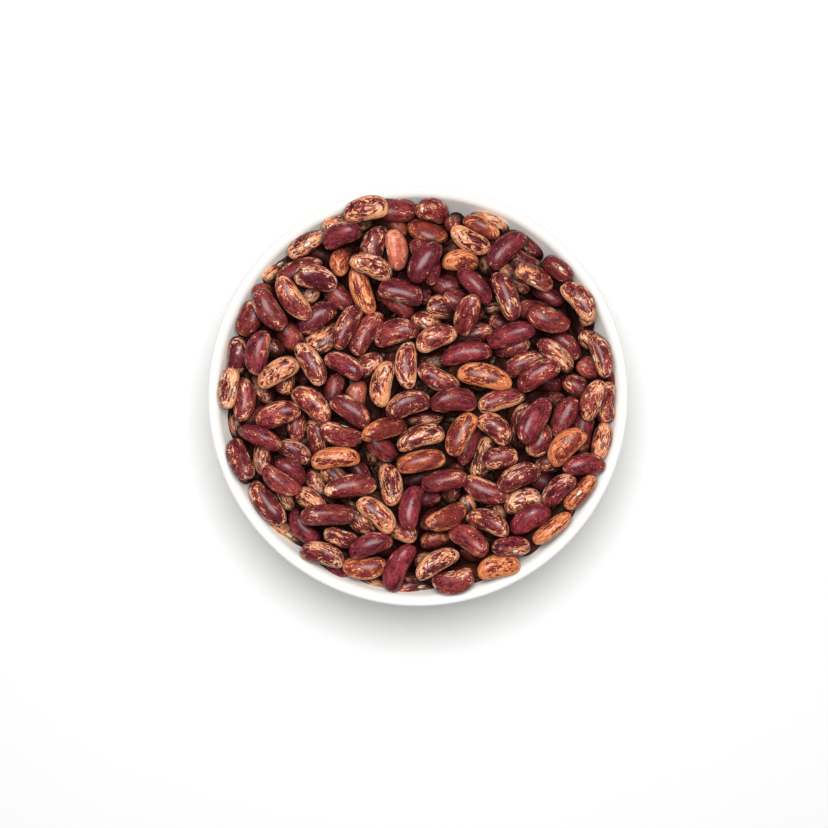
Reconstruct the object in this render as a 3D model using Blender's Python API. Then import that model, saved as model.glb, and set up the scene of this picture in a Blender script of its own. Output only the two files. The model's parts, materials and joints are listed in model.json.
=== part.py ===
"""A white porcelain bowl, 140 mm across, heaped to its rim with dried speckled kidney beans.

Metres, +Z up. The origin is at the middle of the foot ring's underside, on the table.
Two solids: the bowl, and the heap of beans, which is a core with the beans that show fused to it.
"""

import math

import bmesh
import bpy
import numpy as np

MM = 0.001

# The bowl, turned about +Z
RIM_RADIUS = 70 * MM
BOWL_HEIGHT = 58 * MM
FLOOR_HEIGHT = 6.4 * MM
WALL_THICK = 3.8 * MM
WALL_LEAN = math.radians(26)
LIP_SHOULDER = 3.3 * MM
LIP_TURN = 1.0 * MM
FOOT_RADIUS = 31 * MM
FOOT_WIDTH = 4 * MM
FOOT_DEPTH = 2.2 * MM
BOWL_SIDES = 56
WALL_RINGS = 9

# The heap, a low dome that ends a little under the lip. Beans at its edge ride on the lip's shoulder.
EDGE_BELOW_LIP = 0.5 * MM
DOME_RISE = 3 * MM
LOOSE_DEPTH = 11 * MM
PLACED_DEPTH = 6 * MM
OVER_LIP = 1 * MM
EDGE_REACH = 67 * MM
CORE_DEPTH = 3 * MM
CLEARANCE = 0.35 * MM
LEAST_SHOWING = 1.6 * MM

# One bean: half its length, width and thickness, and how they vary
HALF_BEAN = np.array([7.5, 3.95, 3.1]) * MM
BEAN_SPREAD = np.array([0.09, 0.06, 0.05])
BEAN_BEND = 0.26
BEAN_BLUNTNESS = 2.5
BEAN_SIDES = 6
BEAN_RINGS = 3
BEAN_SWELL = 1.06
BEANS = 390

# How the beans are dropped in, and how they settle
SEED = 11
GOLDEN_ANGLE = 2.39996
SPREAD_POWER = 0.56
SCATTER_HEIGHT = 30 * MM
TILT_SPREAD = 0.6
STEPS = 420
PULL = 0.45 * MM
SPREAD = 4
EASE = 1.3
HOMING = 0.25

LIP_MIDDLE = RIM_RADIUS - LIP_TURN
INNER_RIM = LIP_MIDDLE - LIP_SHOULDER * math.cos(WALL_LEAN)
WALL_TOP = BOWL_HEIGHT - LIP_SHOULDER * (1 - math.sin(WALL_LEAN))
FULLNESS = (WALL_TOP - FLOOR_HEIGHT) * math.tan(WALL_LEAN) / INNER_RIM
WALL_SHARES = np.linspace(0, 1, WALL_RINGS + 1)[1:] ** 1.5
WALL_HEIGHTS = FLOOR_HEIGHT + WALL_SHARES * (WALL_TOP - FLOOR_HEIGHT)

# Beans that lie in full sight: x, y and length in mm, then heading and roll in degrees.
# A roll of 0 has the flat side up and the belly on the right, and 90 has the belly up.
PLACED = [
    (-17.2, 61.2, 15.4, 16, 0),
    (-7.2, 48.4, 14.0, -75, 0),
    (-15.5, 42.6, 15.5, -21, 0),
    (-33.9, 38.9, 15.0, -17, 60),
    (-41.1, 32.1, 17.5, 126, 0),
    (-49.0, 28.4, 15.8, 124, 20),
    (-5.8, 34.4, 15.2, -14, 0),
    (-52.6, 14.2, 15.2, 81, 10),
    (-35.3, 10.7, 16.0, -57, 0),
    (-24.6, 10.0, 14.6, -26, 15),
    (-17.2, 20.9, 16.8, 54, 0),
    (2.2, 44.2, 15.4, 55, 15),
    (14.3, 44.8, 13.0, 170, 70),
    (29.1, 48.3, 16.2, 42, 0),
    (17.1, 51.4, 15.0, 148, 20),
    (18.6, 36.6, 15.4, -52, 0),
    (29.3, 33.1, 17.2, -69, -20),
    (38.7, 39.7, 14.0, -24, 0),
    (30.9, 19.9, 17.0, 18, 0),
    (15.9, 13.8, 17.2, 10, 0),
    (42.8, 25.4, 15.2, 161, 20),
    (22.2, 6.1, 18.6, -14, 0),
    (40.0, 7.2, 15.6, 33, 20),
    (-35.3, -3.1, 16.4, -41, 0),
    (-52.3, -13.5, 16.0, -25, 0),
    (-27.4, -20.8, 16.4, 7, 0),
    (-22.6, -30.2, 17.8, 8, 0),
    (-30.2, -39.4, 18.2, 2, 0),
    (-44.9, -28.2, 15.0, 147, 25),
    (-9.4, -29.7, 14.8, -83, 0),
    (-11.4, -11.4, 17.0, 13, 20),
    (37.2, -40.9, 15.2, 31, 10),
    (14.6, -12.9, 15.8, 60, 0),
    (27.5, -20.6, 12.0, 2, 0),
    (25.5, -11.0, 13.5, -48, 80),
    (0.7, -13.9, 16.6, 18, 0),
    (1.0, -21.8, 16.4, 11, 0),
    (38.7, -8.4, 17.4, 60, 0),
    (27.5, -1.3, 16.6, 21, 0),
    (-1.9, -37.1, 15.4, 74, 0),
    (9.3, -40.4, 16.0, 24, 85),
    (30.5, -50.3, 13.6, 8, 10),
    (27.2, -57.3, 15.0, 16, 15),
    (44.8, -43.9, 15.4, 35, 0),
    (54.9, -32.3, 14.6, 44, 80),
    (49.4, -17.0, 15.6, 49, 60),
    (-3.8, 10.5, 16.2, 90, 85),
    (-15.9, -49.5, 15.2, 20, 0),
    (-25.3, 53.3, 13.6, 22, 0),
    (-23.5, 22.8, 16.2, 60, 15),
    (-7.2, 20.9, 15.4, 10, 0),
    (-46.5, 7.7, 15.2, 30, 0),
    (46.6, 42.2, 11.5, -30, 60),
    (6.2, 19.3, 14.6, 22, 10),
    (16.4, 27.0, 15.2, 70, 0),
    (62.4, 13.6, 14.8, -74, 20),
    (53.7, 31.6, 15.4, -51, 0),
    (-46.5, -6.4, 15.6, 21, 0),
    (-25.6, -12.5, 15.4, 162, 0),
    (-13.7, -39.4, 15.8, -38, 10),
    (11.8, -1.6, 15.6, 2, 0),
    (23.2, -42.4, 15.6, -22, 0),
    (54.7, -23.4, 14.8, 8, 0),
    (58.0, -1.3, 14.6, 70, 60),
    (49.1, -7.4, 15.0, 62, 80),
    (8.3, -28.5, 15.8, 12, 0),
    (33.1, -26.7, 15.4, 24, 0),
    (47.1, -31.3, 15.2, 54, 0),
    (17.1, -47.5, 15.0, -40, 0),
    (62.0, -2.3, 14.4, 90, 80),
    (-11.2, 4.0, 15.6, 73, 15),
    (6.9, 5.9, 15.8, 154, 0),
    (-3.3, -3.0, 15.6, 19, 0),
    (-22.4, -4.8, 15.0, -34, 75),
]


def inner_radius(height):
    """Radius of the bowl's inside wall at a height."""
    return INNER_RIM * np.clip((height - FLOOR_HEIGHT) / (WALL_TOP - FLOOR_HEIGHT), 0, 1) ** FULLNESS


def lip_arc(radius, first, last, steps):
    """Part of the lip's section: an arc of a circle that touches the rim's highest ring from below."""
    turns = np.linspace(first, last, steps + 1)[1:]
    return list(zip(LIP_MIDDLE + radius * np.cos(turns), BOWL_HEIGHT - radius * (1 - np.sin(turns))))


def inside():
    """The bowl's section from its floor up to the lip's highest ring."""
    wall = list(zip(inner_radius(WALL_HEIGHTS), WALL_HEIGHTS))
    return wall + lip_arc(LIP_SHOULDER, math.pi - WALL_LEAN, math.pi / 2, 4)


def faceted_radius(height):
    """The inside's radius at the middle of the modelled wall's flats."""
    radii, heights = zip(*inside())
    return np.interp(height, heights, radii) * math.cos(math.pi / BOWL_SIDES)


def heap_height(radius):
    """Height of the heap's outer surface at a distance from the middle."""
    return BOWL_HEIGHT - EDGE_BELOW_LIP + DOME_RISE * (1 - (radius / INNER_RIM) ** 2)


def unit(vectors):
    return vectors / np.linalg.norm(vectors, axis=-1, keepdims=True)


def frames(heading, tilt, roll):
    """Each bean's length, width and thickness directions, as the columns of a matrix."""
    level = np.stack([-np.sin(heading), np.cos(heading), 0 * heading], axis=1)
    along = np.stack([np.cos(heading) * np.cos(tilt), np.sin(heading) * np.cos(tilt), np.sin(tilt)], axis=1)
    upward = np.cross(along, level)
    across = level * np.cos(roll)[:, None] - upward * np.sin(roll)[:, None]
    return np.stack([along, across, np.cross(along, across)], axis=2)


def turned(frame, spin):
    """The frames turned by small rotation vectors, and squared up again."""
    moved = frame + np.cross(spin[:, :, None], frame, axisa=1, axisb=1, axisc=1)
    along = unit(moved[:, :, 0])
    across = moved[:, :, 1] - along * (moved[:, :, 1] * along).sum(1, keepdims=True)
    across = unit(across)
    return np.stack([along, across, np.cross(along, across)], axis=2)


def scattered_beans():
    """Beans in an even spiral above the core, the placed ones on top: half sizes, middles and frames."""
    rng = np.random.default_rng(SEED)
    placed, count = np.array(PLACED), len(PLACED)
    size = HALF_BEAN * (1 + BEAN_SPREAD * rng.normal(size=(BEANS, 3)).clip(-2, 2))
    order = np.arange(BEANS) - count
    radius = (INNER_RIM - HALF_BEAN[1]) * ((order + 0.5).clip(0) / (BEANS - count)) ** SPREAD_POWER
    angle = GOLDEN_ANGLE * order
    heading = 2 * math.pi * rng.random(BEANS)
    tilt = TILT_SPREAD * rng.normal(size=BEANS)
    roll = rng.normal(size=BEANS)
    size[:count, 0] = placed[:, 2] / 2 * MM
    heading[:count], roll[:count] = np.radians(placed[:, 3:]).T
    tilt[:count] = 0
    height = heap_height(radius) - LOOSE_DEPTH + SCATTER_HEIGHT * rng.random(BEANS)
    middle = np.stack([radius * np.cos(angle), radius * np.sin(angle), height], axis=1)
    middle[:count, :2] = goals()
    middle[:count, 2] = heap_height(0) + SCATTER_HEIGHT - PLACED_DEPTH
    return size, middle, frames(heading, tilt, roll)


def goals():
    """Where the placed beans lie, drawn in to where the wall leaves room for all but the first."""
    goal = np.array(PLACED)[:, :2] * MM
    far = np.linalg.norm(goal[1:], axis=1, keepdims=True)
    goal[1:] *= np.minimum(1, (INNER_RIM - HALF_BEAN[1] - CLEARANCE) / far)
    return goal


# Where the eight balls that stand for a bean sit: shares of its reach along and to the side
BALLS = np.array([(-1, 0), (1, 0), (-0.55, 1), (-0.55, -1), (0, 1), (0, -1), (0.55, 1), (0.55, -1)])


def settled(size, middle, frame):
    """The beans eased down on to the core until they touch each other and the wall, and cross nothing."""
    ball = np.repeat(0.97 * size[:, 2:], len(BALLS), axis=1)
    reach = (size[:, :1] - ball) * BALLS[:, 0]
    side = (size[:, 1:2] - ball) * BALLS[:, 1] + BEAN_BEND * size[:, 1:2] * (0.5 - BALLS[:, 0] ** 2)
    local = np.stack([reach, side, 0 * side], axis=2)
    turning = (size[:, 0] ** 2 + size[:, 1] ** 2)[:, None] / 5
    count, goal = len(PLACED), goals()
    heading = np.radians([row[3] for row in PLACED])
    each = np.arange(BEANS)
    deepest = np.where(each < count, PLACED_DEPTH, LOOSE_DEPTH)[:, None]
    clear = ball + LIP_SHOULDER + CLEARANCE

    # The first bean lies over the lip
    deepest[0] = -OVER_LIP
    clear[0] += CLEARANCE
    for step in range(STEPS):
        pull = PULL * min(1, 3 * (1 - step / STEPS))
        middle[:, :2] *= 1 + SPREAD * pull
        middle[:, 2] -= pull
        middle[:count, :2] += HOMING * (goal - middle[:count, :2])
        along = frame[:count, :, 0]
        spin = np.zeros_like(middle)
        spin[:count, 2] = HOMING * (along[:, 0] * np.sin(heading) - along[:, 1] * np.cos(heading))
        frame = turned(frame, spin)
        if step % 8 == 0:
            gap = np.linalg.norm(middle[:, None] - middle[None], axis=2)
            first, second = np.nonzero(np.triu(gap < 2 * HALF_BEAN[0] + 4 * MM, 1))
        balls = middle[:, None] + np.einsum("nij,nkj->nki", frame, local)

        # The pair of balls that cross most, for each two beans that are near
        apart = balls[first][:, :, None] - balls[second][:, None, :]
        depth = ball[first][:, :, None] + ball[second][:, None, :] - np.linalg.norm(apart, axis=3)
        depth = depth.reshape(len(first), -1)
        most = depth.argmax(1)
        rows = np.nonzero(depth.max(1) > 0)[0]
        a, b = np.divmod(most[rows], len(BALLS))
        way, push = unit(apart[rows, a, b]), depth[rows, most[rows]] / 2
        touch = (balls[first[rows], a] + balls[second[rows], b]) / 2
        found = [(first[rows], touch, way, push), (second[rows], touch, -way, push)]

        # The ball that is furthest into the wall, and the one furthest into the core
        radius = np.linalg.norm(balls[:, :, :2], axis=2)
        over = balls[:, :, 2] - BOWL_HEIGHT + LIP_SHOULDER
        lip = LIP_MIDDLE - np.sqrt(np.clip(clear**2 - over**2, 0, None))
        wall = np.where(over < 0, inner_radius(balls[:, :, 2]) - ball, lip)
        wall[1:] = np.minimum(wall[1:], EDGE_REACH - ball[1:])
        inward = -balls * (1, 1, 0) / radius[:, :, None]
        floor = heap_height(radius) - deepest + ball
        for depth, way in ((radius - wall, inward), (floor - balls[:, :, 2], 0 * balls + (0, 0, 1))):
            most = depth.argmax(1)
            rows = np.nonzero(depth[each, most] > 0)[0]
            most = most[rows]
            found.append((rows, balls[rows, most], way[rows, most], depth[rows, most]))

        body, touch, way, push = (np.concatenate(part) for part in zip(*found))
        arm = np.cross(touch - middle[body], way)
        share = (push / (1 + (arm**2).sum(1) / turning[body, 0]))[:, None]
        move, spin = np.zeros_like(middle), np.zeros_like(middle)
        np.add.at(move, body, way * share)
        np.add.at(spin, body, arm * share / turning[body])
        ease = EASE / np.bincount(body, minlength=BEANS)[:, None].clip(1) ** 0.75
        middle = middle + move * ease
        frame = turned(frame, spin * ease)
    return middle, frame


def bean_points(size, sides, rings, swell=1.0):
    """Points of a kidney-shaped bean along X, its belly at -Y: one end, the rings, the other end."""
    around = 2 * math.pi * np.arange(sides) / sides
    x = -np.cos(np.linspace(0, math.pi, rings + 2))[1:-1, None]
    thick = (1 - np.abs(x) ** BEAN_BLUNTNESS) ** (1 / BEAN_BLUNTNESS) * swell
    bend = BEAN_BEND * (0.5 - x**2)
    ring = np.stack([x + 0 * around, thick * np.cos(around) + bend, thick * np.sin(around)], axis=2)
    tips = np.array([[-1, -BEAN_BEND / 2, 0], [1, -BEAN_BEND / 2, 0]])
    return np.concatenate([tips[:1], ring.reshape(-1, 3), tips[1:]]) * size


def bean_faces(sides, rings):
    """The faces that close such a set of points."""
    last = sides * rings + 1
    faces = []
    for k in range(sides):
        after = (k + 1) % sides
        faces.append((0, 1 + after, 1 + k))
        faces.append((last, last - sides + k, last - sides + after))
        for start in range(1, last - sides, sides):
            faces.append((start + k, start + after, start + sides + after, start + sides + k))
    return faces


def material(name, colour, roughness):
    made = bpy.data.materials.new(name)
    made.use_nodes = True
    shader = made.node_tree.nodes["Principled BSDF"]
    shader.inputs["Base Color"].default_value = (*colour, 1)
    shader.inputs["Roughness"].default_value = roughness
    shader.inputs["Metallic"].default_value = 0
    return made


def placed_object(name, mesh, finish):
    made = bpy.data.objects.new(name, mesh)
    bpy.context.scene.collection.objects.link(made)
    mesh.materials.append(finish)
    return made


def turned_solid(name, profile, sides):
    """A closed solid from a profile of (radius, height) that starts and ends on the axis."""
    form = bmesh.new()
    points = [form.verts.new((radius, 0, height)) for radius, height in profile]
    edges = [form.edges.new(pair) for pair in zip(points, points[1:])]
    bmesh.ops.spin(
        form, geom=points + edges, cent=(0, 0, 0), axis=(0, 0, 1), angle=2 * math.pi, steps=sides
    )
    bmesh.ops.remove_doubles(form, verts=form.verts, dist=0.01 * MM)
    bmesh.ops.recalc_face_normals(form, faces=form.faces)
    mesh = bpy.data.meshes.new(name)
    form.to_mesh(mesh)
    form.free()
    return mesh


def outer_wall():
    """The outside of the wall from lip to foot: the inside moved out square to itself."""
    step = 0.1 * MM
    points = []
    for height in WALL_HEIGHTS[::-1][1:]:
        slope = math.atan2(2 * step, inner_radius(height + step) - inner_radius(height - step))
        out, down = WALL_THICK * math.sin(slope), WALL_THICK * math.cos(slope)
        points.append((inner_radius(height) + out, height - down))
    radii, heights = zip(*points[::-1])
    seat = (FOOT_RADIUS, float(np.interp(FOOT_RADIUS, radii, heights)))
    return [point for point in points if point[0] > FOOT_RADIUS + MM] + [seat]


def build_bowl():
    turn = lip_arc(LIP_TURN, math.pi / 2, 0, 2) + lip_arc(LIP_TURN, 0, -WALL_LEAN, 1)
    foot = [
        (FOOT_RADIUS - 0.5 * MM, MM),
        (FOOT_RADIUS - 1.2 * MM, 0.0),
        (FOOT_RADIUS - FOOT_WIDTH + MM, 0.0),
        (FOOT_RADIUS - FOOT_WIDTH, FOOT_DEPTH),
        (0.0, FOOT_DEPTH),
    ]
    profile = [(0.0, FLOOR_HEIGHT)] + inside() + turn + outer_wall() + foot
    mesh = turned_solid("bowl", profile, BOWL_SIDES)
    mesh.shade_smooth()
    mesh.set_sharp_from_angle(angle=math.radians(35))
    return placed_object("bowl", mesh, material("porcelain", (0.86, 0.85, 0.82), 0.15))


def build_core():
    """The heap without its beans, clear of the bowl all over."""
    top = heap_height(INNER_RIM) - CORE_DEPTH
    heights = WALL_HEIGHTS[WALL_HEIGHTS < top - MM]
    side = [(inner_radius(h) - 2 * CLEARANCE, h) for h in heights]
    edge = (inner_radius(top) - 2 * CLEARANCE, top)
    dome = [(r, heap_height(r) - CORE_DEPTH) for r in np.linspace(edge[0] - 6 * MM, 0, 5)]
    profile = [(0.0, FLOOR_HEIGHT + CLEARANCE)] + side + [edge] + dome
    return turned_solid("beans", profile, BOWL_SIDES // 2)


def clear_of_bowl(points, inward):
    """A bean's points moved in from the wall until they clear it."""
    for _ in range(4):
        over = np.linalg.norm(points[:, :2], axis=1) - faceted_radius(points[:, 2]) + CLEARANCE
        points[:, :2] += inward * max(over.max(), 0)
    return points


def outer_shell(mesh):
    """Keeps the mesh's largest connected shell: sealed hollows and loose scraps go."""
    form = bmesh.new()
    form.from_mesh(mesh)
    unseen = set(form.verts)
    shells = []
    while unseen:
        shell = [unseen.pop()]
        for vert in shell:
            near = {edge.other_vert(vert) for edge in vert.link_edges} & unseen
            unseen -= near
            shell.extend(near)
        shells.append(shell)
    for shell in sorted(shells, key=len)[:-1]:
        bmesh.ops.delete(form, geom=shell, context="VERTS")
    form.to_mesh(mesh)
    form.free()


def build_beans():
    """The core, with every bean that shows above it joined on."""
    size, middle, frame = scattered_beans()
    middle, frame = settled(size, middle, frame)
    heap = placed_object("beans", build_core(), material("dried_beans", (0.24, 0.07, 0.05), 0.35))
    loose = bpy.data.collections.new("loose_beans")
    bpy.context.scene.collection.children.link(loose)
    for n in range(BEANS):
        points = bean_points(size[n], BEAN_SIDES, BEAN_RINGS, BEAN_SWELL) @ frame[n].T + middle[n]
        if n:
            points = clear_of_bowl(points, -unit(middle[n, :2]))
        core = heap_height(np.linalg.norm(points[:, :2], axis=1)) - CORE_DEPTH
        if (points[:, 2] - core).max() < LEAST_SHOWING:
            continue
        mesh = bpy.data.meshes.new("bean")
        mesh.from_pydata(points.tolist(), [], bean_faces(BEAN_SIDES, BEAN_RINGS))
        loose.objects.link(bpy.data.objects.new("bean", mesh))
    join = heap.modifiers.new("join", "BOOLEAN")
    join.operation = "UNION"
    join.operand_type = "COLLECTION"
    join.collection = loose
    joined = bpy.data.meshes.new_from_object(heap.evaluated_get(bpy.context.evaluated_depsgraph_get()))
    heap.modifiers.remove(join)
    for bean in list(loose.objects):
        bpy.data.objects.remove(bean)
    bpy.data.collections.remove(loose)
    outer_shell(joined)
    heap.data = joined
    return heap


for leftover in list(bpy.data.objects):
    bpy.data.objects.remove(leftover)
build_bowl()
build_beans()
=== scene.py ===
# A white porcelain bowl heaped to its rim with dried speckled kidney beans, seen from above on a pale table.

import json
import math

import bmesh
import bpy
import numpy as np
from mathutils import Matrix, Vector

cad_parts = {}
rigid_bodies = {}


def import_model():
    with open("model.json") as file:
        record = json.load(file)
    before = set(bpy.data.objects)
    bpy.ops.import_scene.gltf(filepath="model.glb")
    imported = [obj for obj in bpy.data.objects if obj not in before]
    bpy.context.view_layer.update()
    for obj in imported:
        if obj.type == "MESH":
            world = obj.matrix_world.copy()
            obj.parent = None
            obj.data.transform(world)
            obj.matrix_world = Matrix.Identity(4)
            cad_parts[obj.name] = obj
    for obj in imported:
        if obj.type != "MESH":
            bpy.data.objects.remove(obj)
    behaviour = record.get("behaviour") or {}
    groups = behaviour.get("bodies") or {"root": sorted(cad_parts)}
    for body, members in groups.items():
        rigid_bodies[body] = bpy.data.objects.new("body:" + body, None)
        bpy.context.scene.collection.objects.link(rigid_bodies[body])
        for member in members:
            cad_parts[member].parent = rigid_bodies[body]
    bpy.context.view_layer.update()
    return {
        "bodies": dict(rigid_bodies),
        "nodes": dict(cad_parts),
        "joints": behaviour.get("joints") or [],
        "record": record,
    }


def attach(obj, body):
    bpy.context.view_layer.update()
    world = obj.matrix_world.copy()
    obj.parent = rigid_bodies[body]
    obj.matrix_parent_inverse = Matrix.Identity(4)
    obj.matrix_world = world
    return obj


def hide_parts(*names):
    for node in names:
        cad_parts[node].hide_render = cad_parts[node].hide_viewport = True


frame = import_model()

# The bowl is thrown in white porcelain, 140 mm across, with a rounded lip and a turned foot ring.
# It is dipped in a clear, faintly warm glaze, which is wiped off the ring that it stands on, so that
# the bare biscuit shows there, and which gathers a little in the corner above the foot.
MM = 0.001
RIM_RADIUS = 70 * MM
BOWL_HEIGHT = 58 * MM
FLOOR_HEIGHT = 6.4 * MM
WALL_THICK = 3.8 * MM
WALL_LEAN = math.radians(26)
LIP_SHOULDER = 3.3 * MM
LIP_TURN = 1.0 * MM
FOOT_RADIUS = 31 * MM
FOOT_WIDTH = 4 * MM
FOOT_DEPTH = 2.2 * MM
FOOT_CORNER = 2.6 * MM
WALL_RINGS = 48
LIP_MIDDLE = RIM_RADIUS - LIP_TURN
INNER_RIM = LIP_MIDDLE - LIP_SHOULDER * math.cos(WALL_LEAN)
WALL_TOP = BOWL_HEIGHT - LIP_SHOULDER * (1 - math.sin(WALL_LEAN))
FULLNESS = (WALL_TOP - FLOOR_HEIGHT) * math.tan(WALL_LEAN) / INNER_RIM


class Value:
    """A socket of a material's nodes, so that sums on it can be written as plain Python."""

    def __init__(self, tree, socket=None):
        self.tree = tree
        self.socket = socket

    def node(self, kind, settings=None, sockets=None, output=0):
        """Adds a node, sets it up, then fills its sockets with numbers, colours or other values."""
        made = self.tree.nodes.new("ShaderNode" + kind)
        for name, setting in (settings or {}).items():
            setattr(made, name, setting)
        for name, value in (sockets or {}).items():
            if isinstance(value, Value):
                self.tree.links.new(value.socket, made.inputs[name])
            else:
                made.inputs[name].default_value = value
        return Value(self.tree, made.outputs[output])

    def maths(self, operation, *values):
        return self.node("Math", {"operation": operation}, dict(enumerate(values)))

    def or_more(self, other):
        """This value or the other one, whichever is larger."""
        return self.maths("MAXIMUM", self, other)

    def __add__(self, other):
        return self.maths("ADD", self, other)

    def __sub__(self, other):
        return self.maths("SUBTRACT", self, other)

    def __rsub__(self, other):
        return self.maths("SUBTRACT", other, self)

    def __mul__(self, other):
        return self.maths("MULTIPLY", self, other)

    def __truediv__(self, other):
        return self.maths("DIVIDE", self, other)

    __radd__ = __add__
    __rmul__ = __mul__

    def __abs__(self):
        return self.maths("ABSOLUTE", self)

    def between(self, low, high):
        """0 below low, 1 above high, and a smooth step from one to the other."""
        share = {"interpolation_type": "SMOOTHSTEP"}
        return self.node("MapRange", share, {"Value": self, "From Min": low, "From Max": high})

    def mix(self, first, second):
        """The first colour where this value is 0 and the second where it is 1."""
        return self.node("Mix", {"data_type": "RGBA"}, {0: self, 6: first, 7: second}, 2)

    def stretched(self, shares):
        return self.node("VectorMath", {"operation": "MULTIPLY"}, {0: self, 1: shares})

    def noise(self, scale, detail=2.0, roughness=0.5, distortion=0.0):
        sockets = {"Vector": self, "Scale": scale, "Detail": detail}
        return self.node("TexNoise", {}, sockets | {"Roughness": roughness, "Distortion": distortion})

    def part(self, axis):
        return self.node("SeparateXYZ", {}, {0: self}, axis)

    def bump(self, distance, strength=1.0):
        """A normal that rises with this value, by a distance in metres."""
        return self.node("Bump", {}, {"Height": self, "Distance": distance, "Strength": strength})


def new_finish(name):
    """A new material, its shader, and a value to start its nodes from."""
    made = bpy.data.materials.new(name)
    made.use_nodes = True
    shader = made.node_tree.nodes["Principled BSDF"]
    return made, shader, Value(made.node_tree)


def fill(shader, sockets):
    """Sets or links the sockets of a material's shader."""
    for name, value in sockets.items():
        if isinstance(value, Value):
            value.tree.links.new(value.socket, shader.inputs[name])
        else:
            shader.inputs[name].default_value = value


def inner_radius(height):
    """Radius of the bowl's inside wall at a height."""
    return INNER_RIM * np.clip((height - FLOOR_HEIGHT) / (WALL_TOP - FLOOR_HEIGHT), 0, 1) ** FULLNESS


def lip_arc(radius, first, last, steps):
    """Part of the lip's section: an arc of a circle that touches the rim's highest ring from below."""
    turns = np.linspace(first, last, steps + 1)[1:]
    return list(zip(LIP_MIDDLE + radius * np.cos(turns), BOWL_HEIGHT - radius * (1 - np.sin(turns))))


def bowl_profile():
    """Radius and height of points round the bowl's section, from the middle of its floor to its underside."""
    share = np.linspace(0, 1, WALL_RINGS + 1)[1:] ** 2.2
    heights = FLOOR_HEIGHT + share * (WALL_TOP - FLOOR_HEIGHT)
    inside = list(zip(inner_radius(heights), heights))
    lip = lip_arc(LIP_SHOULDER, math.pi - WALL_LEAN, math.pi / 2, 12)
    lip += lip_arc(LIP_TURN, math.pi / 2, 0, 8) + lip_arc(LIP_TURN, 0, -WALL_LEAN, 3)
    wall = []
    step = 0.1 * MM
    for height in heights[::-1][1:]:
        slope = math.atan2(2 * step, inner_radius(height + step) - inner_radius(height - step))
        out, down = WALL_THICK * math.sin(slope), WALL_THICK * math.cos(slope)
        wall.append((inner_radius(height) + out, height - down))
    radii, levels = zip(*wall[::-1])
    seat = float(np.interp(FOOT_RADIUS, radii, levels))
    wall = [point for point in wall if point[0] > FOOT_RADIUS + FOOT_CORNER]
    foot_top = (FOOT_RADIUS - 0.1 * MM, seat - FOOT_CORNER)
    last, bend, foot_top = np.array([wall[-1], (FOOT_RADIUS, seat), foot_top])
    shares = np.linspace(0, 1, 9)[1:]
    cove = [tuple(last * (1 - t) ** 2 + 2 * bend * t * (1 - t) + foot_top * t**2) for t in shares]
    foot = [
        (FOOT_RADIUS - 0.3 * MM, 1.3 * MM),
        (FOOT_RADIUS - 0.6 * MM, 0.5 * MM),
        (FOOT_RADIUS - 1.2 * MM, 0.1 * MM),
        (FOOT_RADIUS - 1.6 * MM, 0.0),
        (FOOT_RADIUS - FOOT_WIDTH + 1.2 * MM, 0.0),
        (FOOT_RADIUS - FOOT_WIDTH + 0.5 * MM, 0.3 * MM),
        (FOOT_RADIUS - FOOT_WIDTH, FOOT_DEPTH - 0.5 * MM),
        (FOOT_RADIUS - FOOT_WIDTH - 0.6 * MM, FOOT_DEPTH),
        (0.0, FOOT_DEPTH),
    ]
    return [(0.0, FLOOR_HEIGHT)] + inside + lip + wall + cove + foot


def turned_solid(name, profile, sides, smooth_below):
    """A closed solid turned from a profile that starts and ends on the axis."""
    form = bmesh.new()
    points = [form.verts.new((radius, 0, height)) for radius, height in profile]
    edges = [form.edges.new(pair) for pair in zip(points, points[1:])]
    bmesh.ops.spin(form, geom=points + edges, cent=(0, 0, 0), axis=(0, 0, 1), angle=2 * math.pi, steps=sides)
    bmesh.ops.remove_doubles(form, verts=form.verts, dist=0.01 * MM)
    bmesh.ops.recalc_face_normals(form, faces=form.faces)
    mesh = bpy.data.meshes.new(name)
    form.to_mesh(mesh)
    form.free()
    mesh.shade_smooth()
    mesh.set_sharp_from_angle(angle=math.radians(smooth_below))
    made = bpy.data.objects.new(name, mesh)
    bpy.context.scene.collection.objects.link(made)
    return made


def glazed_porcelain():
    """A clear glaze over white clay, pooled above the foot, thin on the lip and wiped off the ring."""
    made, shader, start = new_finish("glazed_porcelain")
    place = start.node("TexCoord", {}, {}, "Object")
    height = place.part(2)
    pooled = height.between(3 * MM, 7 * MM) * (1 - height.between(8 * MM, 14 * MM))
    bare = 1 - height.between(0.25 * MM, 0.5 * MM)
    lip = height.between(56.2 * MM, 57.8 * MM)
    cloud = place.noise(45, 3.0).between(0.35, 0.7)
    pits = place.noise(1900, 1.0).between(0.71, 0.76)
    body = cloud.mix((0.885, 0.862, 0.805, 1), (0.900, 0.880, 0.835, 1))
    body = (0.55 * pooled).mix(body, (0.82, 0.82, 0.80, 1))
    body = (0.5 * lip).mix(body, (0.91, 0.90, 0.88, 1))
    body = (0.35 * pits).mix(body, (0.62, 0.56, 0.50, 1))
    clay = place.noise(900, 4.0).mix((0.74, 0.68, 0.60, 1), (0.84, 0.79, 0.72, 1))
    ripple = place.stretched((1, 1, 3)).noise(70, 2.0)
    speckle = place.noise(2600, 2.0)
    fill(shader, {
        "Base Color": bare.mix(body, clay),
        "Roughness": 0.20 + 0.08 * cloud + 0.5 * bare,
        "Coat Weight": 0.3 - 0.3 * bare,
        "Coat Roughness": 0.08,
        "Normal": (ripple * 0.05 + speckle * bare * 0.35 - pits * 0.05).bump(0.2 * MM),
    })
    return made


bowl = turned_solid("porcelain_bowl", bowl_profile(), sides=192, smooth_below=40)
bowl.data.materials.append(glazed_porcelain())
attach(bowl, "root")
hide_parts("bowl")

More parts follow.
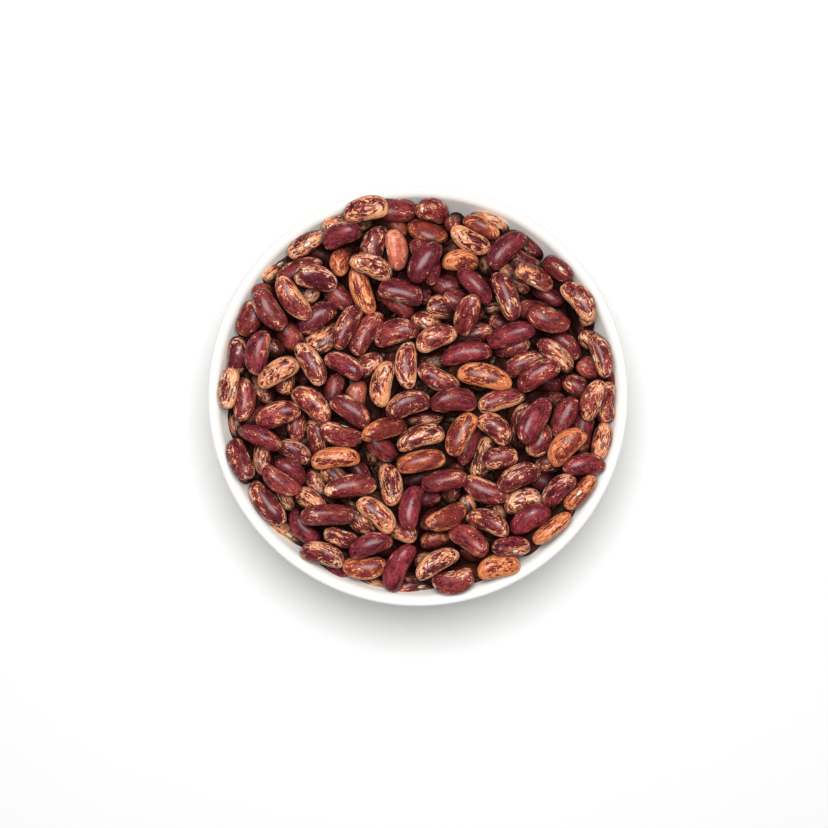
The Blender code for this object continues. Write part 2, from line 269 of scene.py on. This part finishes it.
# The heap is some 600 loose beans that were tipped in and shaken level, and the upper 390 are made here.
# Those in full sight lie where the photo has them, and the rest are scattered by a seeded rule. All are
# then eased down until they rest on each other and on the wall, by the same rule as in the solids.
EDGE_BELOW_LIP = 0.5 * MM
DOME_RISE = 3 * MM
LOOSE_DEPTH = 11 * MM
PLACED_DEPTH = 6 * MM
OVER_LIP = 1 * MM
EDGE_REACH = 67 * MM
CLEARANCE = 0.35 * MM
HALF_BEAN = np.array([7.5, 3.95, 3.1]) * MM
BEAN_SPREAD = np.array([0.09, 0.06, 0.05])
BEAN_BEND = 0.26
BEANS = 390
SEED = 11
GOLDEN_ANGLE = 2.39996
SPREAD_POWER = 0.56
SCATTER_HEIGHT = 30 * MM
TILT_SPREAD = 0.6
STEPS = 420
PULL = 0.45 * MM
SPREAD = 4
EASE = 1.3
HOMING = 0.25
BALL_SHARE = 0.97
LIST_EVERY = 8
LIST_MARGIN = 4 * MM
CROWD_EASE = 0.75

# x, y and length in mm, heading and roll in degrees, and the kind of coat
PLACED = [
    (-17.2, 61.2, 15.4, 16, 0, "flecked"),
    (-7.2, 48.4, 14.0, -75, 0, "coral"),
    (-15.5, 42.6, 15.5, -21, 0, "netted"),
    (-33.9, 38.9, 15.0, -17, 60, "plain"),
    (-41.1, 32.1, 17.5, 126, 0, "netted"),
    (-49.0, 28.4, 15.8, 124, 20, "netted"),
    (-5.8, 34.4, 15.2, -14, 0, "plain"),
    (-52.6, 14.2, 15.2, 81, 10, "plain"),
    (-35.3, 10.7, 16.0, -57, 0, "flecked"),
    (-24.6, 10.0, 14.6, -26, 15, "plain"),
    (-17.2, 20.9, 16.8, 54, 0, "flecked"),
    (2.2, 44.2, 15.4, 55, 15, "plain"),
    (14.3, 44.8, 13.0, 170, 70, "orange"),
    (29.1, 48.3, 16.2, 42, 0, "plain"),
    (17.1, 51.4, 15.0, 148, 20, "flecked"),
    (18.6, 36.6, 15.4, -52, 0, "plain"),
    (29.3, 33.1, 17.2, -69, -20, "flecked"),
    (38.7, 39.7, 14.0, -24, 0, "netted"),
    (30.9, 19.9, 17.0, 18, 0, "plain"),
    (15.9, 13.8, 17.2, 10, 0, "plain"),
    (42.8, 25.4, 15.2, 161, 20, "netted"),
    (22.2, 6.1, 18.6, -14, 0, "orange"),
    (40.0, 7.2, 15.6, 33, 20, "flecked"),
    (-35.3, -3.1, 16.4, -41, 0, "netted"),
    (-52.3, -13.5, 16.0, -25, 0, "plain"),
    (-27.4, -20.8, 16.4, 7, 0, "orange"),
    (-22.6, -30.2, 17.8, 8, 0, "netted"),
    (-30.2, -39.4, 18.2, 2, 0, "netted"),
    (-44.9, -28.2, 15.0, 147, 25, "netted"),
    (-9.4, -29.7, 14.8, -83, 0, "flecked"),
    (-11.4, -11.4, 17.0, 13, 20, "orange"),
    (37.2, -40.9, 15.2, 31, 10, "plain"),
    (14.6, -12.9, 15.8, 60, 0, "orange"),
    (27.5, -20.6, 12.0, 2, 0, "netted"),
    (25.5, -11.0, 13.5, -48, 80, "netted"),
    (0.7, -13.9, 16.6, 18, 0, "netted"),
    (1.0, -21.8, 16.4, 11, 0, "orange"),
    (38.7, -8.4, 17.4, 60, 0, "plain"),
    (27.5, -1.3, 16.6, 21, 0, "flecked"),
    (-1.9, -37.1, 15.4, 74, 0, "plain"),
    (9.3, -40.4, 16.0, 24, 85, "orange"),
    (30.5, -50.3, 13.6, 8, 10, "plain"),
    (27.2, -57.3, 15.0, 16, 15, "orange"),
    (44.8, -43.9, 15.4, 35, 0, "orange"),
    (54.9, -32.3, 14.6, 44, 80, "orange"),
    (49.4, -17.0, 15.6, 49, 60, "orange"),
    (-3.8, 10.5, 16.2, 90, 85, "netted"),
    (-15.9, -49.5, 15.2, 20, 0, "plain"),
    (-25.3, 53.3, 13.6, 22, 0, "plain"),
    (-23.5, 22.8, 16.2, 60, 15, "flecked"),
    (-7.2, 20.9, 15.4, 10, 0, "flecked"),
    (-46.5, 7.7, 15.2, 30, 0, "flecked"),
    (46.6, 42.2, 11.5, -30, 60, "netted"),
    (6.2, 19.3, 14.6, 22, 10, "netted"),
    (16.4, 27.0, 15.2, 70, 0, "netted"),
    (62.4, 13.6, 14.8, -74, 20, "flecked"),
    (53.7, 31.6, 15.4, -51, 0, "flecked"),
    (-46.5, -6.4, 15.6, 21, 0, "flecked"),
    (-25.6, -12.5, 15.4, 162, 0, "flecked"),
    (-13.7, -39.4, 15.8, -38, 10, "flecked"),
    (11.8, -1.6, 15.6, 2, 0, "flecked"),
    (23.2, -42.4, 15.6, -22, 0, "flecked"),
    (54.7, -23.4, 14.8, 8, 0, "flecked"),
    (58.0, -1.3, 14.6, 70, 60, "netted"),
    (49.1, -7.4, 15.0, 62, 80, "flecked"),
    (8.3, -28.5, 15.8, 12, 0, "netted"),
    (33.1, -26.7, 15.4, 24, 0, "flecked"),
    (47.1, -31.3, 15.2, 54, 0, "plain"),
    (17.1, -47.5, 15.0, -40, 0, "flecked"),
    (62.0, -2.3, 14.4, 90, 80, "flecked"),
    (-11.2, 4.0, 15.6, 73, 15, "netted"),
    (6.9, 5.9, 15.8, 154, 0, "flecked"),
    (-3.3, -3.0, 15.6, 19, 0, "flecked"),
    (-22.4, -4.8, 15.0, -34, 75, "netted"),
]


def heap_height(radius):
    """Height of the heap's outer surface at a distance from the middle."""
    return BOWL_HEIGHT - EDGE_BELOW_LIP + DOME_RISE * (1 - (radius / INNER_RIM) ** 2)


def unit(vectors):
    return vectors / np.linalg.norm(vectors, axis=-1, keepdims=True)


def frames(heading, tilt, roll):
    """Each bean's length, width and thickness directions, as the columns of a matrix."""
    level = np.stack([-np.sin(heading), np.cos(heading), 0 * heading], axis=1)
    along = np.stack([np.cos(heading) * np.cos(tilt), np.sin(heading) * np.cos(tilt), np.sin(tilt)], axis=1)
    upward = np.cross(along, level)
    across = level * np.cos(roll)[:, None] - upward * np.sin(roll)[:, None]
    return np.stack([along, across, np.cross(along, across)], axis=2)


def turned(frame, spin):
    """The frames turned by small rotation vectors, and squared up again."""
    moved = frame + np.cross(spin[:, :, None], frame, axisa=1, axisb=1, axisc=1)
    along = unit(moved[:, :, 0])
    across = moved[:, :, 1] - along * (moved[:, :, 1] * along).sum(1, keepdims=True)
    across = unit(across)
    return np.stack([along, across, np.cross(along, across)], axis=2)


def scattered_beans():
    """Beans in an even spiral above the core, the placed ones on top: half sizes, middles and frames."""
    rng = np.random.default_rng(SEED)
    placed, count = np.array([row[:5] for row in PLACED]), len(PLACED)
    size = HALF_BEAN * (1 + BEAN_SPREAD * rng.normal(size=(BEANS, 3)).clip(-2, 2))
    order = np.arange(BEANS) - count
    radius = (INNER_RIM - HALF_BEAN[1]) * ((order + 0.5).clip(0) / (BEANS - count)) ** SPREAD_POWER
    angle = GOLDEN_ANGLE * order
    heading = 2 * math.pi * rng.random(BEANS)
    tilt = TILT_SPREAD * rng.normal(size=BEANS)
    roll = rng.normal(size=BEANS)
    size[:count, 0] = placed[:, 2] / 2 * MM
    heading[:count], roll[:count] = np.radians(placed[:, 3:]).T
    tilt[:count] = 0
    height = heap_height(radius) - LOOSE_DEPTH + SCATTER_HEIGHT * rng.random(BEANS)
    middle = np.stack([radius * np.cos(angle), radius * np.sin(angle), height], axis=1)
    middle[:count, :2] = goals()
    middle[:count, 2] = heap_height(0) + SCATTER_HEIGHT - PLACED_DEPTH
    return size, middle, frames(heading, tilt, roll)


def goals():
    """Where the placed beans lie, drawn in to where the wall leaves room for all but the first."""
    goal = np.array([row[:2] for row in PLACED]) * MM
    far = np.linalg.norm(goal[1:], axis=1, keepdims=True)
    goal[1:] *= np.minimum(1, (INNER_RIM - HALF_BEAN[1] - CLEARANCE) / far)
    return goal


# Where the eight balls that stand for a bean sit: shares of its reach along and to the side
BALLS = np.array([(-1, 0), (1, 0), (-0.55, 1), (-0.55, -1), (0, 1), (0, -1), (0.55, 1), (0.55, -1)])


def settled(size, middle, frame):
    """The beans eased down until the balls in them rest on each other, on the wall and on the heap below."""
    ball = np.repeat(BALL_SHARE * size[:, 2:], len(BALLS), axis=1)
    reach = (size[:, :1] - ball) * BALLS[:, 0]
    side = (size[:, 1:2] - ball) * BALLS[:, 1] + BEAN_BEND * size[:, 1:2] * (0.5 - BALLS[:, 0] ** 2)
    local = np.stack([reach, side, 0 * side], axis=2)
    turning = (size[:, 0] ** 2 + size[:, 1] ** 2)[:, None] / 5
    count, goal = len(PLACED), goals()
    heading = np.radians([row[3] for row in PLACED])
    each = np.arange(BEANS)
    deepest = np.where(each < count, PLACED_DEPTH, LOOSE_DEPTH)[:, None]
    clear = ball + LIP_SHOULDER + CLEARANCE

    # The first bean lies over the lip
    deepest[0] = -OVER_LIP
    clear[0] += CLEARANCE
    for step in range(STEPS):
        pull = PULL * min(1, 3 * (1 - step / STEPS))
        middle[:, :2] *= 1 + SPREAD * pull
        middle[:, 2] -= pull
        middle[:count, :2] += HOMING * (goal - middle[:count, :2])
        along = frame[:count, :, 0]
        spin = np.zeros_like(middle)
        spin[:count, 2] = HOMING * (along[:, 0] * np.sin(heading) - along[:, 1] * np.cos(heading))
        frame = turned(frame, spin)
        if step % LIST_EVERY == 0:
            gap = np.linalg.norm(middle[:, None] - middle[None], axis=2)
            first, second = np.nonzero(np.triu(gap < 2 * HALF_BEAN[0] + LIST_MARGIN, 1))
        balls = middle[:, None] + np.einsum("nij,nkj->nki", frame, local)

        # The pair of balls that cross most, for each two beans that are near
        apart = balls[first][:, :, None] - balls[second][:, None, :]
        depth = ball[first][:, :, None] + ball[second][:, None, :] - np.linalg.norm(apart, axis=3)
        depth = depth.reshape(len(first), -1)
        most = depth.argmax(1)
        rows = np.nonzero(depth.max(1) > 0)[0]
        a, b = np.divmod(most[rows], len(BALLS))
        way, push = unit(apart[rows, a, b]), depth[rows, most[rows]] / 2
        touch = (balls[first[rows], a] + balls[second[rows], b]) / 2
        found = [(first[rows], touch, way, push), (second[rows], touch, -way, push)]

        # The ball that is furthest into the wall, and the one furthest into the core
        radius = np.linalg.norm(balls[:, :, :2], axis=2)
        over = balls[:, :, 2] - BOWL_HEIGHT + LIP_SHOULDER
        lip = LIP_MIDDLE - np.sqrt(np.clip(clear**2 - over**2, 0, None))
        wall = np.where(over < 0, inner_radius(balls[:, :, 2]) - ball, lip)
        wall[1:] = np.minimum(wall[1:], EDGE_REACH - ball[1:])
        inward = -balls * (1, 1, 0) / radius[:, :, None]
        floor = heap_height(radius) - deepest + ball
        for depth, way in ((radius - wall, inward), (floor - balls[:, :, 2], 0 * balls + (0, 0, 1))):
            most = depth.argmax(1)
            rows = np.nonzero(depth[each, most] > 0)[0]
            most = most[rows]
            found.append((rows, balls[rows, most], way[rows, most], depth[rows, most]))

        body, touch, way, push = (np.concatenate(part) for part in zip(*found))
        arm = np.cross(touch - middle[body], way)
        share = (push / (1 + (arm**2).sum(1) / turning[body, 0]))[:, None]
        move, spin = np.zeros_like(middle), np.zeros_like(middle)
        np.add.at(move, body, way * share)
        np.add.at(spin, body, arm * share / turning[body])
        ease = EASE / np.bincount(body, minlength=BEANS)[:, None].clip(1) ** CROWD_EASE
        middle = middle + move * ease
        frame = turned(frame, spin * ease)
    return middle, frame


bean_size, bean_middle, bean_frame = scattered_beans()
bean_middle, bean_frame = settled(bean_size, bean_middle, bean_frame)

# Under the beans in sight lie more of the same, in the dark. They show only as a rough, nearly black floor in
# the gaps, so one bumpy turned core stands for them, 11 mm under the heap's surface, its maroon painted
# nearly black as painted shade.
CORE_DEPTH = 11 * MM


def build_core():
    """A solid that fills the bowl to under the beans, with an uneven top."""
    top = heap_height(INNER_RIM) - CORE_DEPTH
    heights = FLOOR_HEIGHT + np.linspace(0, 1, 15)[1:] ** 2 * (top - FLOOR_HEIGHT)
    side = [(inner_radius(height) - 2.5 * CLEARANCE, height) for height in heights]
    edge = side[-1][0] - 2 * MM
    dome = [(radius, heap_height(radius) - CORE_DEPTH) for radius in np.linspace(edge, 0, 30)]
    profile = [(0.0, FLOOR_HEIGHT + 2 * CLEARANCE)] + side + dome
    core = turned_solid("heap_core", profile, sides=90, smooth_below=180)
    for vert in core.data.vertices:
        radius = math.hypot(vert.co.x, vert.co.y)
        if vert.co.z > top - MM and radius < edge:
            vert.co.z += 0.9 * MM * math.sin(620 * vert.co.x) * math.sin(560 * vert.co.y + 300 * vert.co.x)
    return core


def beans_in_painted_shade():
    """Maroon lumps with a few dull flecks, all painted nearly black as painted shade."""
    made, shader, start = new_finish("beans_in_painted_shade")
    place = start.node("TexCoord", {}, {}, "Object")
    lump = place.noise(160, 2.0).between(0.4, 0.65)
    fleck = place.noise(600, 3.0).between(0.6, 0.7)
    # Painted shade: the lumps' maroon and their flecks are painted nearly black
    ground = lump.mix((0.020, 0.004, 0.003, 1), (0.075, 0.016, 0.012, 1))
    colour = (0.5 * fleck).mix(ground, (0.30, 0.13, 0.08, 1))
    fill(shader, {"Base Color": colour, "Roughness": 0.45 + 0.2 * fleck, "Normal": lump.bump(0.6 * MM)})
    return made


core = build_core()
core.data.materials.append(beans_in_painted_shade())
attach(core, "root")
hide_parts("beans")

# Every bean is a dry seed: kidney-shaped, a little flattened, one end often thicker, its back rounder
# than its belly. The belly has a shallow dent with the hilum in it, the pale oval scar where the seed
# hung in its pod. The coat has shrunk on to the seed, so it is faintly lumpy, and wrinkled on some.
SIDES = 26
RINGS = 22
BELLY_CROWDING = 0.5
MIDDLE_CROWDING = 0.4
HILUM_LENGTH = 0.16
HILUM_WIDTH = 0.15
CELLS = 144
BLUR_ROUNDS = 3
WHORL = np.array([1.5, 1.5, 3.8])
WHORL_MIDDLE = 0.35
KINDS = ["plain", "flecked", "netted", "orange", "coral"]
SHARES = [0.20, 0.38, 0.29, 0.12, 0.01]
SHAPE_SEED = 29
LUMP_SEED = 1000
WAVE_TURN = 6.28

# Each bean takes its pattern from a place of its own in the noise, this many units from the last one's
OWN_PLACE = 23.7

shape_rng = np.random.default_rng(SHAPE_SEED)
kind_of = shape_rng.choice(KINDS, size=BEANS, p=SHARES)
kind_of[: len(PLACED)] = [row[5] for row in PLACED]
bend_of = (BEAN_BEND + 0.07 * shape_rng.normal(size=BEANS)).clip(0.12, 0.42)
bluntness_of = shape_rng.uniform(2.15, 2.75, BEANS)
taper_of = (0.055 * shape_rng.normal(size=BEANS)).clip(-0.12, 0.12)
dent_of = shape_rng.uniform(0.03, 0.10, BEANS)
wrinkle_of = np.where(shape_rng.random(BEANS) < 0.12, 0.028, 0.006)
wrinkle_of[kind_of == "coral"] = 0.035
own_of = shape_rng.random((BEANS, 3))


def bean_form(n):
    """One bean's points in its own frame, in metres, and the same as shares of its half sizes."""
    even = 2 * math.pi * np.arange(SIDES) / SIDES
    around = even + BELLY_CROWDING * np.sin(even)
    share = np.linspace(0, 1, RINGS + 2)[1:-1]
    share = share + MIDDLE_CROWDING * np.sin(2 * math.pi * share) / (2 * math.pi)
    x = -np.cos(math.pi * share)[:, None]
    thick = (1 - np.abs(x) ** bluntness_of[n]) ** (1 / bluntness_of[n]) * (1 + taper_of[n] * x)
    phase = WAVE_TURN * np.random.default_rng(LUMP_SEED + n).random(8)

    # Slow waves make the coat lumpy, and quick ones along it wrinkle it
    lump = 0.012 * np.sin(3.1 * x + phase[0]) * np.cos(around + phase[1])
    lump = lump + 0.010 * np.sin(5.3 * x + phase[2]) * np.cos(2 * around + phase[3])
    fold = np.sin(6 * around + 2.5 * x + phase[4] + 1.5 * np.sin(4 * x + phase[5]))
    fold = fold * (0.6 + 0.4 * np.sin(3 * around + 5 * x + phase[6]))
    thick = thick * (1 + lump + wrinkle_of[n] * fold)

    # The belly is bent in, dented in the middle, and sunk a little at the scar
    belly = ((1 - np.cos(around)) / 2) ** 6
    y = thick * np.cos(around) + bend_of[n] * (0.5 - x**2)
    y = y + dent_of[n] * belly * np.exp(-((x / 0.33) ** 2))
    flank = thick * np.sin(around)
    scar = np.exp(-(((x / HILUM_LENGTH) ** 2 + (flank / HILUM_WIDTH) ** 2) ** 2)) * (np.cos(around) < 0)
    y = y - 0.022 * scar
    ring = np.stack([x + 0 * around, y, flank], axis=2).reshape(-1, 3)
    tips = np.array([[-1, -bend_of[n] / 2, 0], [1, -bend_of[n] / 2, 0]])
    shape = np.concatenate([tips[:1], ring, tips[1:]])
    spot = np.stack([x + 0 * around, thick * np.cos(around), flank], axis=2).reshape(-1, 3)
    spot = np.concatenate([[[-1, 0, 0]], spot, [[1, 0, 0]]])
    return shape * bean_size[n], spot


def bean_faces():
    """The faces that close a bean's points."""
    last = SIDES * RINGS + 1
    faces = []
    for k in range(SIDES):
        after = (k + 1) % SIDES
        faces.append((0, 1 + after, 1 + k))
        faces.append((last, last - SIDES + k, last - SIDES + after))
        for start in range(1, last - SIDES, SIDES):
            faces.append((start + k, start + after, start + SIDES + after, start + SIDES + k))
    return faces


def cells(points):
    """The cell, 1 mm square, that each point lies over."""
    return tuple((points[:, :2] / MM).astype(int).T + CELLS // 2)


def heap_tops():
    """How high the beans reach over each cell, averaged with the cells around it; the coats paint shade on
    points that lie well below.
    """
    tops = np.full((CELLS, CELLS), BOWL_HEIGHT - LIP_SHOULDER)
    for n in range(BEANS):
        points = bean_form(n)[0] @ bean_frame[n].T + bean_middle[n]
        np.maximum.at(tops, cells(points), points[:, 2])
    for _ in range(BLUR_ROUNDS):
        tops = sum(np.roll(tops, (i, j), (0, 1)) for i in range(-2, 3) for j in range(-2, 3)) / 25
    return tops


tops = heap_tops()


def bean_piece(name, kind, coat):
    """All beans of one kind as one mesh, each point knowing its place on its own bean and how far it lies
    under the heap's tops, which sets its painted shade.
    """
    faces, each = [], bean_faces()
    points, spots, grains, whorls, owns = [], [], [], [], []
    for n in np.nonzero(kind_of == kind)[0]:
        shape, spot = bean_form(n)
        start = len(points) * len(shape)
        faces.extend([tuple(start + k for k in face) for face in each])
        points.append(shape @ bean_frame[n].T + bean_middle[n])
        spots.append(spot)
        grains.append(shape / MM + OWN_PLACE * n)
        out = np.hypot(spot[:, :1], spot[:, 1:2]) + WHORL_MIDDLE
        whorls.append(WHORL * spot / np.concatenate([out, out, 1 + 0 * out], axis=1) + OWN_PLACE * n)
        owns.append(np.tile(own_of[n], (len(shape), 1)))
    points = np.concatenate(points)
    mesh = bpy.data.meshes.new(name)
    mesh.from_pydata(points.tolist(), [], faces)
    for label, rows in (("spot", spots), ("grain", grains), ("whorl", whorls), ("own", owns)):
        kept = mesh.attributes.new(label, "FLOAT_VECTOR", "POINT")
        kept.data.foreach_set("vector", np.concatenate(rows).ravel())
    # How far each point lies under the heap's tops, in mm, from which the coat paints shade in the gaps
    deep = mesh.attributes.new("deep", "FLOAT", "POINT")
    deep.data.foreach_set("value", (tops[cells(points)] - points[:, 2]) / MM)
    mesh.shade_smooth()
    mesh.materials.append(coat)
    made = bpy.data.objects.new(name, mesh)
    bpy.context.scene.collection.objects.link(made)
    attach(made, "root")
    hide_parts("beans")
    return made


def seed_coat(name, dark, ground, warm, cream, cover, rim_cover, rough):
    """A mottled dark ground, with pale patches and streaks that follow the bean's outline and crowd at
    its edges. They run from rose through tan to cream along fine veins, and a few specks lie between."""
    made, shader, start = new_finish(name)
    spot = start.node("Attribute", {"attribute_name": "spot"}, {}, "Vector")
    grain = start.node("Attribute", {"attribute_name": "grain"}, {}, "Vector")
    whorl = start.node("Attribute", {"attribute_name": "whorl"}, {}, "Vector")
    own = start.node("Attribute", {"attribute_name": "own"}, {}, "Vector")
    # Painted shade: the further a point lies under the heap's tops, the darker its colour is painted, and the
    # rougher and less coated it is made
    painted_shade = start.node("Attribute", {"attribute_name": "deep"}, {}, "Fac").between(0.2, 4.2)
    along, across, flank = spot.part(0), spot.part(1), spot.part(2)
    edge = (along * along + across * across).between(0.15, 1.0)
    belly = across.between(0.1, -0.9)
    blotch = grain.stretched((0.55, 1, 1)).noise(0.34, 2.0)
    streak = grain.stretched((0.42, 1, 1)).noise(1.05, 4.0, 0.60, 1.4)
    swirl = whorl.noise(1.0, 2.0, 0.55, 0.7)
    vein = whorl.noise(2.3, 2.0, 0.55, 0.5)
    fine = grain.stretched((0.5, 1, 1)).noise(2.2, 2.0, 0.6, 0.8)
    amount = cover + rim_cover * edge + 0.6 * (blotch - 0.5) + 0.2 * (own.part(0) - 0.5)
    patch = streak - 0.70 + amount
    stroke = amount - 2.2 * abs(swirl - 0.5)
    shown = patch.or_more(stroke) + 0.16 * (fine - 0.5)
    speck = grain.stretched((0.7, 1, 1)).noise(2.0, 1.0).between(0.725, 0.755)
    pale = shown.between(-0.01, 0.02).or_more(0.85 * speck)
    shade = shown.between(-0.12, -0.02) * (1 - pale)
    body = (0.5 * blotch.between(0.35, 0.65) + 0.5 * vein.between(0.40, 0.62)).mix(dark, ground)
    body = (own.part(1) * 0.6).mix(body, dark)
    body = (shade * 0.6).mix(body, tuple(0.4 * c for c in dark[:3]) + (1,))
    rose = tuple(0.7 * a + 0.3 * b for a, b in zip(ground, warm))
    light = vein.between(0.40, 0.56).mix(rose, warm)
    light = (vein.between(0.48, 0.64) * (0.4 + 0.6 * own.part(2))).mix(light, cream)
    light = (0.8 * speck).mix(light, cream)
    light = (belly * 0.5).mix(light, warm)
    reach = (along / HILUM_LENGTH) * (along / HILUM_LENGTH) + (flank / HILUM_WIDTH) * (flank / HILUM_WIDTH)
    low = across.between(-0.35, -0.6)
    scar = (1 - reach.between(0.75, 1.05)) * low
    collar = (1 - reach.between(1.6, 2.6)) * low - scar
    slit = (1 - (flank * flank).between(0.0002, 0.0008)) * (1 - (along * along).between(0.006, 0.01)) * low
    colour = pale.mix(body, light)
    colour = (collar * 0.75).mix(colour, (0.10, 0.030, 0.015, 1))
    colour = scar.mix(colour, (0.86, 0.78, 0.66, 1))
    colour = (slit * 0.6).mix(colour, (0.25, 0.16, 0.10, 1))
    # Painted shade: points deep between the beans are painted nearly black
    colour = (painted_shade * 0.96).mix(colour, (0.006, 0.001, 0.001, 1))
    skin = grain.noise(0.9, 3.0, 0.6)
    pores = grain.noise(5.5, 2.0)
    fill(shader, {
        "Base Color": colour,
        "Roughness": rough + 0.10 * skin + 0.08 * pale + 0.3 * scar + 0.2 * painted_shade,
        "Coat Weight": 0.45 - 0.45 * painted_shade,
        "Coat Roughness": 0.27,
        "Specular IOR Level": 0.05,
        "Normal": (skin * 0.9 + pores * 0.16 + scar * 0.6 + pale * 0.10).bump(0.10 * MM, 0.8),
    })
    return made


# About a sixth of the beans are plain: a maroon to purple-brown coat, smooth and glossy, with no more
# than a few pale flecks at the ends and edges.
bean_piece("plain_beans", "plain", seed_coat(
    "plain_maroon_coat", dark=(0.060, 0.006, 0.012, 1), ground=(0.420, 0.054, 0.066, 1),
    warm=(0.74, 0.29, 0.13, 1), cream=(0.97, 0.68, 0.48, 1), cover=-0.07, rim_cover=0.11, rough=0.36,
))

# Over two fifths are flecked: the same maroon, broken by thin cream and peach streaks, few on the flat
# sides and many along the belly, the back and the ends.
bean_piece("flecked_beans", "flecked", seed_coat(
    "flecked_maroon_coat", dark=(0.070, 0.007, 0.013, 1), ground=(0.520, 0.077, 0.070, 1),
    warm=(0.84, 0.38, 0.16, 1), cream=(0.99, 0.75, 0.54, 1), cover=0.012, rim_cover=0.08, rough=0.38,
))

# Over a quarter are netted: a little lighter, with more and evener tan and peach streaks, which leave a
# broken net of maroon lines and blotches between them.
bean_piece("netted_beans", "netted", seed_coat(
    "netted_tan_coat", dark=(0.080, 0.008, 0.013, 1), ground=(0.570, 0.092, 0.076, 1),
    warm=(0.84, 0.38, 0.16, 1), cream=(0.99, 0.75, 0.54, 1), cover=0.022, rim_cover=0.06, rough=0.40,
))

# About a ninth are orange at the belly, the back and the ends, purest along the belly, with a saddle of
# brown and maroon on the flat sides.
bean_piece("orange_beans", "orange", seed_coat(
    "orange_saddled_coat", dark=(0.140, 0.018, 0.018, 1), ground=(0.480, 0.085, 0.048, 1),
    warm=(0.76, 0.23, 0.075, 1), cream=(0.95, 0.54, 0.28, 1), cover=0.05, rim_cover=0.15, rough=0.38,
))

# One in a hundred is coral all over, with little pattern. These are the most wrinkled, because the
# coat dried before the seed was full.
bean_piece("coral_beans", "coral", seed_coat(
    "coral_wrinkled_coat", dark=(0.46, 0.095, 0.060, 1), ground=(0.80, 0.22, 0.13, 1),
    warm=(0.85, 0.28, 0.17, 1), cream=(0.92, 0.52, 0.38, 1), cover=0.0, rim_cover=0.08, rough=0.38,
))

# The table is a plain white board with a dull, faintly uneven coat of paint. It reaches well past the
# picture on every side, and the bowl stands on it at height 0.
BOARD_REACH = 3.0


def build_board():
    mesh = bpy.data.meshes.new("table")
    low, high = -BOARD_REACH, BOARD_REACH
    mesh.from_pydata([(low, low, 0), (high, low, 0), (high, high, 0), (low, high, 0)], [], [(0, 1, 2, 3)])
    made, shader, start = new_finish("white_board")
    place = start.node("TexCoord", {}, {}, "Object")
    cloud = place.noise(6, 2.0)
    fill(shader, {
        "Base Color": cloud.mix((0.89, 0.89, 0.89, 1), (0.91, 0.91, 0.91, 1)),
        "Roughness": 0.6 + 0.1 * cloud,
        "Specular IOR Level": 0.2,
    })
    mesh.materials.append(made)
    board = bpy.data.objects.new("table", mesh)
    bpy.context.scene.collection.objects.link(board)
    return board


build_board()

# The light is one large round softbox overhead, a little towards the top of the picture, with a much
# weaker even light all round.
KEY_PLACE = (0, 0.155, 1.12)
KEY_TARGET = (0, 0, 0.05)
KEY_WIDTH = 0.58
KEY_POWER = 13.9
FILL_STRENGTH = 0.15

softbox = bpy.data.lights.new("key_light", "AREA")
softbox.shape = "DISK"
softbox.size = KEY_WIDTH
softbox.energy = KEY_POWER
lamp = bpy.data.objects.new("key_light", softbox)
lamp.location = KEY_PLACE
lamp.rotation_euler = (Vector(KEY_TARGET) - Vector(KEY_PLACE)).to_track_quat("-Z", "Y").to_euler()
bpy.context.scene.collection.objects.link(lamp)

studio = bpy.data.worlds.new("studio")
studio.use_nodes = True
studio.node_tree.nodes["Background"].inputs["Color"].default_value = (1, 1, 1, 1)
studio.node_tree.nodes["Background"].inputs["Strength"].default_value = FILL_STRENGTH
bpy.context.scene.world = studio

# The camera looks straight down. Its scale is set at the height of the heap, and the bowl's middle lies
# a few pixels to the right of the picture's middle and above it.
EYE_HEIGHT = 0.9
PICTURE_PIXELS = 828
PIXEL = 0.3318 * MM
BOWL_RIGHT = 4 * PIXEL
BOWL_UP = 18 * PIXEL

lens = bpy.data.cameras.new("camera")
lens.sensor_width = 36
lens.lens = lens.sensor_width * (EYE_HEIGHT - heap_height(0)) / (PICTURE_PIXELS * PIXEL)
camera = bpy.data.objects.new("camera", lens)
camera.location = (-BOWL_RIGHT, -BOWL_UP, EYE_HEIGHT)
bpy.context.scene.collection.objects.link(camera)
bpy.context.scene.camera = camera
bpy.context.scene.view_settings.view_transform = "Standard"
